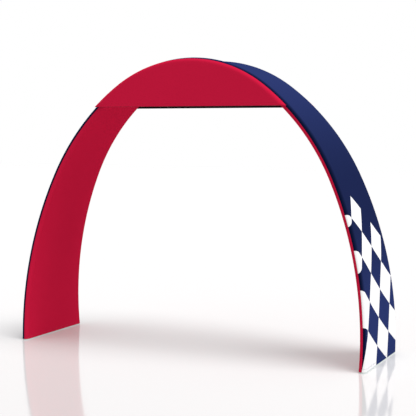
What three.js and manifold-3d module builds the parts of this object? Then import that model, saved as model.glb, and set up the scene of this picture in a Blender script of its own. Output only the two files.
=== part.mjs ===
// An archway banner stand: two bent tube hoops that lean together at the top, a stretched cloth sleeve
// over both of them, and a pillowcase header on a rail of its own at the front and at the back.
//
// Millimetres, +Z up, front towards -Y. The origin is on the floor, midway between the feet.
//
// Each hoop lies in a flat plane that leans towards the middle. A point of such a plane is (x, rise), and
// a point near it is (x, forward, rise), with forward measured outwards from the plane. leaned() turns
// that into the part's frame.

import * as THREE from "three";
import { mergeVertices } from "three/addons/utils/BufferGeometryUtils.js";
import Module from "manifold-3d";

const wasm = await Module();
wasm.setup();

// ---------------------------------------------------------------- driving dimensions

const GAP = 0.3; // between neighbouring pieces

// The hoops
const TOTAL_HEIGHT = 2400; // floor to the top of the sleeve
const FOOT_DEPTH = 830; // between the two hoops' centre planes at the floor
const LEAN = THREE.MathUtils.degToRad(3.92); // each hoop's plane from the vertical
const TUBE_RADIUS = 27;
const TUBE_BORE = 25;
const CROWN_RADIUS = 1085; // the three radii of the hoop's centreline
const SHOULDER_RADIUS = 1860;
const LEG_RADIUS = 3070;
const CROWN_END = THREE.MathUtils.degToRad(53.5); // where each arc ends, above the horizontal
const SHOULDER_END = THREE.MathUtils.degToRad(24.9);

// The sleeve
const SLEEVE_RADIUS = 29; // outside of the cloth round a hoop
const SLEEVE_CLOTH = 1.2;
const SEAM_HALF_GAP = THREE.MathUtils.degToRad(0.4); // either side of the front-most and back-most line
const SADDLE_DEPTH = 9; // how far the stretched cloth draws in midway between the hoops
const SADDLE_RUN = 300; // rise from the foot over which the saddle grows

// The header
const HEADER_BOTTOM = 2006; // floor to the level bottom edge of the header
const RAIL_RADIUS = 28;
const RAIL_BORE = 25;
const RAIL_INSET = 16; // rail's centreline inside the hoop's
const RAIL_FORWARD = 57.2; // rail's centreline in front of the hoop's
const HEADER_RADIUS = 30; // outside of the cloth round the rail
const HEADER_CLOTH = 1.4;
const BAR_HEIGHT = 25;
const BAR_CLEARANCE = 0.5; // between the bar and its pocket
const BAR_CORNER = 3;

// The rest of the frame
const SPREADER_RADIUS = 12.5;
const SPREADER_BORE = 10.5;
const SPREADER_RISES = { low: 350, middle: 1000, high: 1600 };
const PLATE_THICKNESS = 8;
const PLATE_INSET = 0.5; // the plate's edge inside the sleeve's

// How finely curves are cut into flats
const HOOP_STEPS = { leg: 8, shoulder: 7, crown: 9 }; // half a hoop
const HEADER_STEPS = { shoulder: 4, crown: 9 }; // half a header
const QUARTER_STEPS = 5; // round a quarter of a hoop
const SPAN_STEPS = 4; // across from hoop to hoop
const RIM_STEPS = 8; // round the header's rim
const HOOP_SIDES = 12;
const RAIL_SIDES = 8;
const BORE_SIDES = 6;

// ---------------------------------------------------------------- materials

const material = (color, roughness, metalness = 0) =>
  new THREE.MeshStandardMaterial({ color, roughness, metalness });

const MATERIALS = {
  navyCloth: material(0x2d3a70, 0.75),
  redCloth: material(0xb11636, 0.7),
  blackCloth: material(0x1c1416, 0.85),
  aluminium: material(0xb8babd, 0.4, 0.9),
  greyPlate: material(0xc9cec8, 0.5),
};

// ---------------------------------------------------------------- the hoop's centreline

const rad90 = Math.PI / 2;
const apexRise = (TOTAL_HEIGHT - SLEEVE_RADIUS) / Math.cos(LEAN);

// The right half as arcs about (x, rise) centres, from the top down. Neighbours share a tangent.
const crownArc = { radius: CROWN_RADIUS, x: 0, rise: apexRise - CROWN_RADIUS, from: rad90, to: CROWN_END };
const shoulderArc = nextArc(crownArc, SHOULDER_RADIUS, SHOULDER_END);
const legArc = nextArc(shoulderArc, LEG_RADIUS, 0);
legArc.to = Math.asin(-legArc.rise / LEG_RADIUS); // down to the floor

function nextArc(arc, radius, to) {
  const shift = arc.radius - radius;
  return {
    radius,
    x: arc.x + shift * Math.cos(arc.to),
    rise: arc.rise + shift * Math.sin(arc.to),
    from: arc.to,
    to,
  };
}

// A station is a place along the hoop: its point (x, rise), and the angle of its outward normal.
function stationOnArc(arc, angle, offset = 0) {
  const reach = arc.radius + offset;
  return { x: arc.x + reach * Math.cos(angle), rise: arc.rise + reach * Math.sin(angle), angle };
}

function stationAtRise(rise, offset = 0) {
  for (const arc of [crownArc, shoulderArc, legArc]) {
    const angle = Math.asin((rise - arc.rise) / (arc.radius + offset));
    if (angle >= arc.to - 1e-9) return stationOnArc(arc, angle, offset);
  }
  throw new Error("no station at rise " + rise);
}

const mirrored = ({ x, rise, angle }) => ({ x: -x, rise, angle: Math.PI - angle });

function stationsOnArc(arc, steps, offset = 0, to = arc.to) {
  return Array.from({ length: steps + 1 }, (_, i) =>
    stationOnArc(arc, THREE.MathUtils.lerp(arc.from, to, i / steps), offset),
  );
}

// From a half that starts at the top to the whole run, left to right.
function bothHalves(rightHalf) {
  return [...rightHalf.slice(1).map(mirrored).reverse(), ...rightHalf];
}

const crownHalf = stationsOnArc(crownArc, HOOP_STEPS.crown);
const rightLeg = [
  ...stationsOnArc(shoulderArc, HOOP_STEPS.shoulder),
  ...stationsOnArc(legArc, HOOP_STEPS.leg).slice(1),
];
const hoopStations = bothHalves([...crownHalf, ...rightLeg.slice(1)]);

// ---------------------------------------------------------------- frames and points

// side is -1 for the front hoop's plane and +1 for the back one's.
function leaned(side, x, forward, rise) {
  const depth = FOOT_DEPTH / 2 - rise * Math.sin(LEAN) + forward * Math.cos(LEAN);
  return new THREE.Vector3(x, side * depth, rise * Math.cos(LEAN) + forward * Math.sin(LEAN));
}

const halfDepthAt = (rise) => leaned(1, 0, 0, rise).y;

// The rise at which a point that lies forward of the plane has this height above the floor.
const riseAt = (height, forward) => (height - forward * Math.sin(LEAN)) / Math.cos(LEAN);

// Puts a mesh made in (x, -forward, rise) into the front plane, or turned about +Z into the back one.
function intoPlane(mesh, side) {
  mesh.rotation.set(-LEAN, 0, 0);
  mesh.position.set(0, -FOOT_DEPTH / 2, 0);
  const plane = new THREE.Group();
  plane.rotation.z = side < 0 ? 0 : Math.PI;
  plane.add(mesh);
  return plane;
}

// ---------------------------------------------------------------- closed meshes

// A BufferGeometry from rows of points and a list of triangles that index them.
function geometryOf(points, triangles) {
  const geometry = new THREE.BufferGeometry().setFromPoints(points);
  geometry.setIndex(triangles);
  const flat = geometry.toNonIndexed();
  flat.computeVertexNormals();
  return flat;
}

// Joins closed loops that have as many points each into one closed body with flat caps.
function loft(loops) {
  const count = loops[0].length;
  const points = loops.flat();
  const triangles = [];
  for (let row = 0; row + 1 < loops.length; row += 1) {
    for (let i = 0; i < count; i += 1) {
      const a = row * count + i;
      const b = row * count + ((i + 1) % count);
      triangles.push(a, b, b + count, a, b + count, a + count);
    }
  }
  const last = (loops.length - 1) * count;
  for (const [a, b, c] of capOf(loops[0])) triangles.push(a, c, b);
  for (const [a, b, c] of capOf(loops.at(-1))) triangles.push(last + a, last + b, last + c);
  return facingOut(geometryOf(points, triangles));
}

// Triangles that fill a flat loop, in the loop's own sense of turning.
function capOf(loop) {
  const normal = new THREE.Vector3();
  loop.forEach((point, i) => normal.add(point.clone().cross(loop[(i + 1) % loop.length])));
  const turn = new THREE.Quaternion().setFromUnitVectors(normal.normalize(), new THREE.Vector3(0, 0, 1));
  const turned = loop.map((point) => point.clone().applyQuaternion(turn));
  const outline = turned.map(({ x, y }) => new THREE.Vector2(x, y));
  return THREE.ShapeUtils.triangulateShape(outline, []);
}

function signedVolume(geometry) {
  const position = geometry.getAttribute("position");
  const [a, b, c] = [new THREE.Vector3(), new THREE.Vector3(), new THREE.Vector3()];
  let sum = 0;
  for (let i = 0; i < position.count; i += 3) {
    a.fromBufferAttribute(position, i);
    b.fromBufferAttribute(position, i + 1);
    c.fromBufferAttribute(position, i + 2);
    sum += a.dot(b.cross(c)) / 6;
  }
  return sum;
}

function facingOut(geometry) {
  if (signedVolume(geometry) > 0) return geometry;
  const array = geometry.getAttribute("position").array;
  for (let i = 0; i < array.length; i += 9) {
    for (let k = 0; k < 3; k += 1) {
      [array[i + k], array[i + 3 + k]] = [array[i + 3 + k], array[i + k]];
    }
  }
  geometry.computeVertexNormals();
  return geometry;
}

// ---------------------------------------------------------------- cuts and joins

function solidOf(geometry) {
  const bare = geometry.clone();
  bare.deleteAttribute("normal");
  bare.deleteAttribute("uv");
  const merged = mergeVertices(bare, 1e-3);
  return new wasm.Manifold(
    new wasm.Mesh({
      numProp: 3,
      vertProperties: merged.getAttribute("position").array,
      triVerts: new Uint32Array(merged.index.array),
    }),
  );
}

function geometryFrom(solid) {
  const { vertProperties, triVerts } = solid.getMesh();
  const indexed = new THREE.BufferGeometry();
  indexed.setAttribute("position", new THREE.BufferAttribute(vertProperties, 3));
  indexed.setIndex(new THREE.BufferAttribute(triVerts, 1));
  const flat = indexed.toNonIndexed();
  flat.computeVertexNormals();
  return flat;
}

// A box much wider than the part, from one height to another.
function slab(bottom, top) {
  const wide = 3 * TOTAL_HEIGHT;
  return new THREE.BoxGeometry(wide, wide, top - bottom).translate(0, 0, (bottom + top) / 2);
}

// ---------------------------------------------------------------- the sleeve

const footCut = PLATE_THICKNESS + GAP;

// One surface of a band across the sleeve, from the front seam to the back one. outward is +1 for the
// outer band and -1 for the inner one.
function bandLine(station, outward, radius) {
  const normal = { x: Math.cos(station.angle), rise: Math.sin(station.angle) };
  const around = (side, angle) => {
    const reach = outward * radius * Math.sin(angle);
    const x = station.x + reach * normal.x;
    return leaned(side, x, radius * Math.cos(angle), station.rise + reach * normal.rise);
  };
  const angles = Array.from({ length: QUARTER_STEPS + 1 }, (_, i) =>
    THREE.MathUtils.lerp(SEAM_HALF_GAP, rad90, i / QUARTER_STEPS),
  );
  const front = angles.map((angle) => around(-1, angle));
  const back = angles.map((angle) => around(1, angle)).reverse();
  const drawIn = SADDLE_DEPTH * (1 - Math.exp((footCut - station.rise) / SADDLE_RUN));
  const between = Array.from({ length: SPAN_STEPS - 1 }, (_, i) => {
    const t = (i + 1) / SPAN_STEPS;
    const sag = drawIn * 4 * t * (1 - t);
    const point = front.at(-1).clone().lerp(back[0], t);
    return point.add(new THREE.Vector3(-sag * normal.x, 0, -sag * normal.rise));
  });
  return [...front, ...between, ...back];
}

// Slides each point of an end loop along its own line until it lies at the height of the foot.
function atFootHeight(end, next) {
  return end.map((point, i) => {
    const t = (footCut - point.z) / (next[i].z - point.z);
    return point.clone().lerp(next[i], t);
  });
}

function band(outward) {
  const loops = hoopStations.map((station) => [
    ...bandLine(station, outward, SLEEVE_RADIUS),
    ...bandLine(station, outward, SLEEVE_RADIUS - SLEEVE_CLOTH).reverse(),
  ]);
  loops[0] = atFootHeight(loops[0], loops[1]);
  loops[loops.length - 1] = atFootHeight(loops.at(-1), loops.at(-2));
  return loft(loops);
}

// ---------------------------------------------------------------- tubes

// A ring of so many sides, as a shape with its bore.
function ringShape(radius, bore, sides) {
  const corner = (size, i, count) => {
    const angle = ((i + 0.5) * 2 * Math.PI) / count;
    return new THREE.Vector2(size * Math.cos(angle), size * Math.sin(angle));
  };
  const shape = new THREE.Shape(Array.from({ length: sides }, (_, i) => corner(radius, i, sides)));
  const hole = Array.from({ length: BORE_SIDES }, (_, i) => corner(bore, i, BORE_SIDES));
  shape.holes.push(new THREE.Path(hole));
  return shape;
}

// A curve through stations, one step each, in the plane y = -forward. ends slides its two ends along it.
class StationCurve extends THREE.Curve {
  constructor(stations, forward, ends = [0, 0]) {
    super();
    this.stations = stations;
    this.forward = forward;
    this.ends = ends;
  }

  getUtoTmapping(u) {
    return u;
  }

  getPoint(t, target = new THREE.Vector3()) {
    const last = this.stations.length - 1;
    const index = Math.round(t * last);
    const { x, rise } = this.stations[index];
    const tangent = this.getTangent(t);
    const slide = index === 0 ? this.ends[0] : index === last ? this.ends[1] : 0;
    return target.set(x, -this.forward, rise).addScaledVector(tangent, slide);
  }

  getTangent(t, target = new THREE.Vector3()) {
    const { angle } = this.stations[Math.round(t * (this.stations.length - 1))];
    return target.set(Math.sin(angle), 0, -Math.cos(angle));
  }
}

function tubeAlong(stations, forward, ends, radius, bore, sides) {
  return new THREE.ExtrudeGeometry(ringShape(radius, bore, sides), {
    steps: stations.length - 1,
    bevelEnabled: false,
    extrudePath: new StationCurve(stations, forward, ends),
  });
}

// A leg in its plane's own frame, cut level with the floor at the top of its foot plate.
function legTube(stations, ends) {
  const long = tubeAlong(stations, 0, ends, TUBE_RADIUS, TUBE_BORE, HOOP_SIDES);
  const below = slab(-TOTAL_HEIGHT, footCut).rotateX(LEAN);
  return geometryFrom(solidOf(long).subtract(solidOf(below)));
}

// The three sections of the hoop on one side of the stand. The back one is turned about +Z, which swaps
// its legs.
function hoopTubes(side) {
  const overrun = 2 * TUBE_RADIUS * Math.sin(LEAN); // past the floor, so that the whole end is cut
  const half = GAP / 2;
  const first = legTube(rightLeg.map(mirrored).reverse(), [-overrun, -half]);
  const crown = tubeAlong(bothHalves(crownHalf), 0, [half, -half], TUBE_RADIUS, TUBE_BORE, HOOP_SIDES);
  const last = legTube(rightLeg, [half, overrun]);
  const [left, right] = side < 0 ? [first, last] : [last, first];
  return { leg_left: left, crown, leg_right: right };
}

// A straight tube along Y between the two hoops. Its square ends clear the leaning hoops' flats.
function spreader(station) {
  const toFlat = (TUBE_RADIUS * Math.cos(Math.PI / HOOP_SIDES)) / Math.cos(LEAN);
  const half = halfDepthAt(station.rise) - toFlat - SPREADER_RADIUS * Math.tan(LEAN) - GAP;
  const profile = [
    new THREE.Vector2(SPREADER_BORE, -half),
    new THREE.Vector2(SPREADER_RADIUS, -half),
    new THREE.Vector2(SPREADER_RADIUS, half),
    new THREE.Vector2(SPREADER_BORE, half),
    new THREE.Vector2(SPREADER_BORE, -half),
  ];
  const { x, z } = leaned(1, station.x, 0, station.rise);
  return facingOut(new THREE.LatheGeometry(profile, HOOP_SIDES).toNonIndexed()).translate(x, 0, z);
}

// ---------------------------------------------------------------- the header

const headerBack = RAIL_FORWARD - HEADER_RADIUS;
const pocketRadius = HEADER_RADIUS - HEADER_CLOTH; // inside of the cloth round the rail

// Stations of a header outline that lies offset outside the hoop's centreline and forward of its plane,
// left to right, ending at a height above the floor.
function headerOutline(offset, forward, bottom = HEADER_BOTTOM) {
  const last = stationAtRise(riseAt(bottom, forward), offset);
  const crown = stationsOnArc(crownArc, HEADER_STEPS.crown, offset);
  const shoulder = stationsOnArc(shoulderArc, HEADER_STEPS.shoulder, offset, last.angle);
  return bothHalves([...crown, ...shoulder.slice(1)]);
}

// An outline for each step round the rim, from the flat front to the seam at the back.
function rimOutlines(radius, bottom) {
  return Array.from({ length: RIM_STEPS + 1 }, (_, i) => {
    const angle = (i * Math.PI) / RIM_STEPS;
    const forward = RAIL_FORWARD + radius * Math.cos(angle);
    const stations = headerOutline(radius * Math.sin(angle) - RAIL_INSET, forward, bottom);
    return { forward, stations };
  });
}

const rimRows = (radius) =>
  rimOutlines(radius).map(({ forward, stations }) =>
    stations.map(({ x, rise }) => new THREE.Vector3(x, -forward, rise)),
  );

// The red face: a flat front that wraps round the rail and ends behind it, open at the bottom.
function headerFace() {
  const outside = rimRows(HEADER_RADIUS);
  const inside = rimRows(pocketRadius);
  const across = outside[0].length;
  const points = [...outside.flat(), ...inside.flat()];
  const outer = (row, i) => row * across + i;
  const inner = (row, i) => outer(outside.length + row, i);
  const triangles = [];
  const quad = (a, b, c, d) => triangles.push(a, b, c, a, c, d);
  for (let row = 0; row < RIM_STEPS; row += 1) {
    for (let i = 0; i + 1 < across; i += 1) {
      quad(outer(row, i), outer(row, i + 1), outer(row + 1, i + 1), outer(row + 1, i));
      quad(inner(row, i), inner(row + 1, i), inner(row + 1, i + 1), inner(row, i + 1));
    }
    for (const i of [0, across - 1]) {
      const edge = [outer(row, i), outer(row + 1, i), inner(row + 1, i), inner(row, i)];
      quad(...(i === 0 ? edge : edge.reverse()));
    }
  }
  for (let i = 0; i + 1 < across; i += 1) {
    quad(outer(RIM_STEPS, i), outer(RIM_STEPS, i + 1), inner(RIM_STEPS, i + 1), inner(RIM_STEPS, i));
  }
  for (const [a, b, c] of capOf(outside[0])) {
    triangles.push(outer(0, a), outer(0, c), outer(0, b));
  }
  for (const [a, b, c] of capOf(inside[0])) {
    triangles.push(inner(0, a), inner(0, b), inner(0, c));
  }
  const last = across - 1;
  quad(outer(0, 0), inner(0, 0), inner(0, last), outer(0, last));
  return facingOut(geometryOf(points, triangles));
}

// The flat reverse, which meets the face's wrapped edge.
function headerReverse() {
  const outline = headerOutline(-RAIL_INSET - GAP, headerBack);
  const shape = new THREE.Shape(outline.map(({ x, rise }) => new THREE.Vector2(x, rise)));
  const sheet = new THREE.ExtrudeGeometry(shape, { depth: HEADER_CLOTH, bevelEnabled: false });
  return sheet.rotateX(rad90).translate(0, -headerBack, 0);
}

// The level underside, which fills the open bottom of the face and runs into the reverse. The rim slopes
// inwards, so it is cut to the width at its upper surface.
function headerUnderside() {
  const top = HEADER_BOTTOM + HEADER_CLOTH;
  const ends = rimOutlines(pocketRadius - 2 * GAP, top).map(({ forward, stations }) => ({
    x: stations.at(-1).x,
    forward,
  }));
  const seam = headerOutline(-RAIL_INSET - GAP, headerBack, top).at(-1);
  ends.at(-1).x = seam.x;
  ends.push({ x: seam.x, forward: headerBack + HEADER_CLOTH / 2 });
  const along = ends.map(({ x, forward }) => new THREE.Vector2(x, -forward / Math.cos(LEAN)));
  const mirror = along.map(({ x, y }) => new THREE.Vector2(-x, y)).reverse();
  const sheet = new THREE.ExtrudeGeometry(new THREE.Shape([...along, ...mirror]), {
    depth: HEADER_CLOTH,
    bevelEnabled: false,
  });
  return sheet.rotateX(LEAN).translate(0, 0, HEADER_BOTTOM / Math.cos(LEAN));
}

// The black reverse and underside in one piece.
function headerBacker() {
  return geometryFrom(solidOf(headerReverse()).add(solidOf(headerUnderside())));
}

const barBottom = riseAt(HEADER_BOTTOM + HEADER_CLOTH, headerBack) + BAR_CLEARANCE;
const barTop = barBottom + BAR_HEIGHT;

function headerRail() {
  const overrun = 2 * RAIL_RADIUS;
  const line = headerOutline(-RAIL_INSET, RAIL_FORWARD);
  const long = tubeAlong(line, RAIL_FORWARD, [-overrun, overrun], RAIL_RADIUS, RAIL_BORE, RAIL_SIDES);
  return geometryFrom(solidOf(long).subtract(solidOf(slab(0, barTop + GAP))));
}

// The bar's section is a rounded rectangle in (forward, rise), run along X.
function headerBar() {
  const half = stationAtRise(barTop, -RAIL_INSET).x;
  const wide = pocketRadius - BAR_CLEARANCE;
  const [left, right] = [-wide + BAR_CORNER, wide - BAR_CORNER];
  const [low, high] = [BAR_CORNER, BAR_HEIGHT - BAR_CORNER];
  const shape = new THREE.Shape();
  shape.absarc(left, low, BAR_CORNER, Math.PI, 1.5 * Math.PI);
  shape.absarc(right, low, BAR_CORNER, 1.5 * Math.PI, 2 * Math.PI);
  shape.absarc(right, high, BAR_CORNER, 0, rad90);
  shape.absarc(left, high, BAR_CORNER, rad90, Math.PI);
  const bar = new THREE.ExtrudeGeometry(shape, { depth: 2 * half, bevelEnabled: false, curveSegments: 2 });
  return bar.translate(0, 0, -half).rotateX(rad90).rotateZ(rad90).translate(0, -RAIL_FORWARD, barBottom);
}

// ---------------------------------------------------------------- the foot plates

function footPlate(side) {
  const { x, rise } = stationAtRise(0);
  const radius = SLEEVE_RADIUS - PLATE_INSET;
  const half = halfDepthAt(rise);
  const shape = new THREE.Shape();
  shape.absarc(side * x, half, radius, 0, Math.PI);
  shape.absarc(side * x, -half, radius, Math.PI, 2 * Math.PI);
  const upwards = { depth: PLATE_THICKNESS, bevelEnabled: false, curveSegments: 12 };
  return new THREE.ExtrudeGeometry(shape, upwards);
}

// ---------------------------------------------------------------- the whole stand

const stand = new THREE.Group();

function addPiece(name, geometry, finish, side = 0) {
  const mesh = new THREE.Mesh(geometry, finish);
  mesh.name = name;
  stand.add(side === 0 ? mesh : intoPlane(mesh, side));
}

addPiece("outer_band", band(1), MATERIALS.navyCloth);
addPiece("inner_band", band(-1), MATERIALS.redCloth);

for (const [place, side] of Object.entries({ front: -1, back: 1 })) {
  for (const [section, geometry] of Object.entries(hoopTubes(side))) {
    addPiece(`arch_${place}_${section}`, geometry, MATERIALS.aluminium, side);
  }
  addPiece(`header_face_${place}`, headerFace(), MATERIALS.redCloth, side);
  addPiece(`header_backer_${place}`, headerBacker(), MATERIALS.blackCloth, side);
  addPiece(`header_rail_${place}`, headerRail(), MATERIALS.aluminium, side);
  addPiece(`header_bar_${place}`, headerBar(), MATERIALS.aluminium, side);
}

for (const [height, rise] of Object.entries(SPREADER_RISES)) {
  const right = stationAtRise(rise);
  addPiece(`spreader_${height}_right`, spreader(right), MATERIALS.aluminium);
  addPiece(`spreader_${height}_left`, spreader(mirrored(right)), MATERIALS.aluminium);
}
addPiece("spreader_crown", spreader(crownHalf[0]), MATERIALS.aluminium);

for (const [place, side] of Object.entries({ left: -1, right: 1 })) {
  addPiece(`foot_plate_${place}`, footPlate(side), MATERIALS.greyPlate);
}

export default stand;
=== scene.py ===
"""Archway banner stand: a tension fabric sleeve and two headers over leaning bent tube hoops.

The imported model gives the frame: metres, +Z up, the front towards -Y. The cloth is rebuilt here as fine
sheets over the same hoop lines and the foot plates are remade. The tubes are kept and get their finish.
"""

import logging
import math
from dataclasses import dataclass, field
from enum import Enum
from typing import Callable, Union

import bmesh
import bpy
from mathutils import Matrix, Vector


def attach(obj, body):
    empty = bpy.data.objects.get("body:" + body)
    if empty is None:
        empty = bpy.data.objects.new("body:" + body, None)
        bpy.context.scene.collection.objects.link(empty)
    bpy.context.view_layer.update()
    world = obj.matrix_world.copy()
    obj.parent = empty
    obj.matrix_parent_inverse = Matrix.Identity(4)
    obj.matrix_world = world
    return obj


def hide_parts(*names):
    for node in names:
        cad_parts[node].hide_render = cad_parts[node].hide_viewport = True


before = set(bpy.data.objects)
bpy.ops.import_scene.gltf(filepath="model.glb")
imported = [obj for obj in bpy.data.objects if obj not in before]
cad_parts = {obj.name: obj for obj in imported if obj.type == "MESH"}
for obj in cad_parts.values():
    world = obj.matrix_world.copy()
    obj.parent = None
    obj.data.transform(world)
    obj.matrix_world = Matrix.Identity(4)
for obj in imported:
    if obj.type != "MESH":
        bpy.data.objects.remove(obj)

LOG = logging.getLogger("archway")
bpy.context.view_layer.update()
BODY = "root"

LEAN = math.radians(3.92)  # each hoop's plane leans this far towards the other
TOTAL_HEIGHT = 2.400
FOOT_DEPTH = 0.830  # between the two hoops' middle planes at the floor
SLEEVE_RADIUS = 0.029  # outside of the cloth round a hoop tube
FOOT_CUT = 0.0083  # height at which the sleeve is cut level

Number = Union[int, float]
Colour = tuple[float, float, float]
Piece = bpy.types.Object
Mesh = bmesh.types.BMesh
Operand = Union["Wire", Number]
ColourOrWire = Union["Wire", Colour]


class Side(Enum):
    """Which hoop a piece belongs to. The value is the sign of its Y."""

    FRONT = -1
    BACK = 1


class Layer(Enum):
    """Which half of the sleeve a band is. The value is the sign of its reach from the hoop line."""

    OUTER = 1
    INNER = -1


# ---------------------------------------- shader maths


def operator(operation: str, swapped: bool = False) -> Callable[..., "Wire"]:
    """Makes one of Wire's operators. Args: its Math node, and if its sides swap. Returns: the method."""

    def method(self: "Wire", *others: Operand) -> "Wire":
        """Adds the Math node. Args: the other side, if there is one. Returns: its result."""
        return self.graph.maths(operation, *((*others, self) if swapped else (self, *others)))

    return method


class Wire:
    """One output of a node, which takes part in Python expressions by adding Math nodes."""

    def __init__(self, graph: "Graph", socket: bpy.types.NodeSocket) -> None:
        """Wraps a socket. Args: the graph that new nodes are added to, and the output to wrap."""
        self.graph = graph
        self.socket = socket

    __add__ = __radd__ = operator("ADD")
    __sub__ = operator("SUBTRACT")
    __rsub__ = operator("SUBTRACT", swapped=True)
    __mul__ = __rmul__ = operator("MULTIPLY")
    __truediv__ = operator("DIVIDE")
    __pow__ = operator("POWER")
    __lt__ = operator("LESS_THAN")
    __gt__ = operator("GREATER_THAN")
    __abs__ = operator("ABSOLUTE")

    def call(self, operation: str, *values: Operand) -> "Wire":
        """A Math node by name. Args: the operation and any further inputs. Returns: its result."""
        return self.graph.maths(operation, self, *values)

    def ramp(self, low: Number, high: Number) -> "Wire":
        """A smooth step. Args: where it is 0, and where it is 1. Returns: 0 to 1, eased at both ends."""
        settings = {"interpolation_type": "SMOOTHSTEP"}
        return self.graph.add("ShaderNodeMapRange", settings, {0: self, 1: low, 2: high, 3: 0.0, 4: 1.0})


class Graph:
    """The node tree of one material or world, with one method that adds any node."""

    def __init__(self, tree: bpy.types.NodeTree) -> None:
        """Empties the tree and keeps it. Args: tree: the tree to fill."""
        self.tree = tree
        tree.nodes.clear()

    def node(self, kind: str, settings: dict, inputs: dict) -> bpy.types.Node:
        """Adds a node.

        Args:
            kind: the node's type name.
            settings: its own properties, set before its sockets.
            inputs: socket index or name to a value, a colour or a Wire.

        Returns:
            The node.
        """
        node = self.tree.nodes.new(kind)
        for name, value in settings.items():
            setattr(node, name, value)
        for key, value in inputs.items():
            socket = node.inputs[key]
            if isinstance(value, Wire):
                self.tree.links.new(value.socket, socket)
                continue
            if isinstance(value, tuple) and len(socket.default_value) == 4:
                value = (*value, 1.0)
            socket.default_value = value
        return node

    def add(self, kind: str, settings: dict, inputs: dict, output: Union[int, str] = 0) -> Wire:
        """Adds a node. Args: as for node, and which output to return. Returns: that output."""
        return Wire(self, self.node(kind, settings, inputs).outputs[output])

    def maths(self, operation: str, *values: Operand) -> Wire:
        """Adds a Math node. Args: the operation and its inputs in order. Returns: its result."""
        return self.add("ShaderNodeMath", {"operation": operation}, dict(enumerate(values)))

    def uv(self, name: str) -> tuple[Wire, Wire]:
        """A piece's own UV map. Args: name: the map's name. Returns: its two numbers."""
        plane = self.add("ShaderNodeUVMap", {"uv_map": name}, {})
        return self.split(plane)[:2]

    def split(self, vector: Wire) -> tuple[Wire, Wire, Wire]:
        """A vector's three numbers. Args: vector: what to split. Returns: x, y and z."""
        return tuple(Wire(self, out) for out in self.node("ShaderNodeSeparateXYZ", {}, {0: vector}).outputs)

    def place(self, scale: tuple[float, float, float] = (1.0, 1.0, 1.0)) -> Wire:
        """Object coordinates. Args: scale: stretch along each axis. Returns: the scaled place."""
        spot = self.add("ShaderNodeTexCoord", {}, {}, "Object")
        return self.add("ShaderNodeMapping", {}, {"Vector": spot, "Scale": scale})

    def noise(self, where: Wire, scale: float, detail: float = 2.0) -> Wire:
        """Smooth noise. Args: where it is read, its scale and detail. Returns: 0 to 1."""
        inputs = {"Vector": where, "Scale": scale, "Detail": detail}
        return self.add("ShaderNodeTexNoise", {}, inputs)

    def blend(self, share: Operand, first: ColourOrWire, second: ColourOrWire) -> Wire:
        """Mixes two colours. Args: the second's share, the first and the second. Returns: the mix."""
        settings = {"data_type": "RGBA", "clamp_factor": True}
        return self.add("ShaderNodeMix", settings, {0: share, 6: first, 7: second}, 2)

    def shade(self, colour: ColourOrWire, amount: Operand) -> Wire:
        """Scales a colour. Args: the colour and the factor. Returns: the scaled colour."""
        inputs = {0: colour, "Scale": amount}
        return self.add("ShaderNodeVectorMath", {"operation": "SCALE"}, inputs)

    def relief(self, height: Wire, depth: float, **under: Wire) -> Wire:
        """A Bump node. Args: height, depth in metres, Normal: a relief under it. Returns: the normal."""
        inputs = {"Height": height, "Distance": depth, "Strength": 1.0, **under}
        return self.add("ShaderNodeBump", {}, inputs)

    def surface(self, shader: Wire, kind: str = "ShaderNodeOutputMaterial") -> None:
        """Joins a shader to an output node. Args: what the surface is, and the output's type."""
        self.node(kind, {}, {"Surface": shader})

    def coat(self, inputs: dict) -> None:
        """Makes the surface a Principled BSDF. Args: inputs: its sockets."""
        self.surface(self.add("ShaderNodeBsdfPrincipled", {}, inputs))


def new_material(name: str) -> tuple[bpy.types.Material, Graph]:
    """Makes an empty material. Args: name: its name. Returns: the material and its graph."""
    material = bpy.data.materials.new(name)
    material.use_nodes = True
    return material, Graph(material.node_tree)


# ---------------------------------------- finishes

CUT_MAP = "cut"  # metres on the flat cut: across from the middle, along from the left foot
EDGE_MAP = "edges"  # metres to the nearest seam, and to the nearest hem
HEM_ROWS = (0.0215, 0.0245)  # the twin rows of stitches, in metres from the hem's edge
HEM_LINES = (0.012, 0.0205, 0.0223, 0.0232, 0.0241, 0.0262)  # lines of vertices that shape the hem
CLEAR = 0.1  # an edge is at least this far away where no hem or seam is to show
HEM_LIFT = 0.0006  # how far the turned hem stands proud of the cloth


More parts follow.
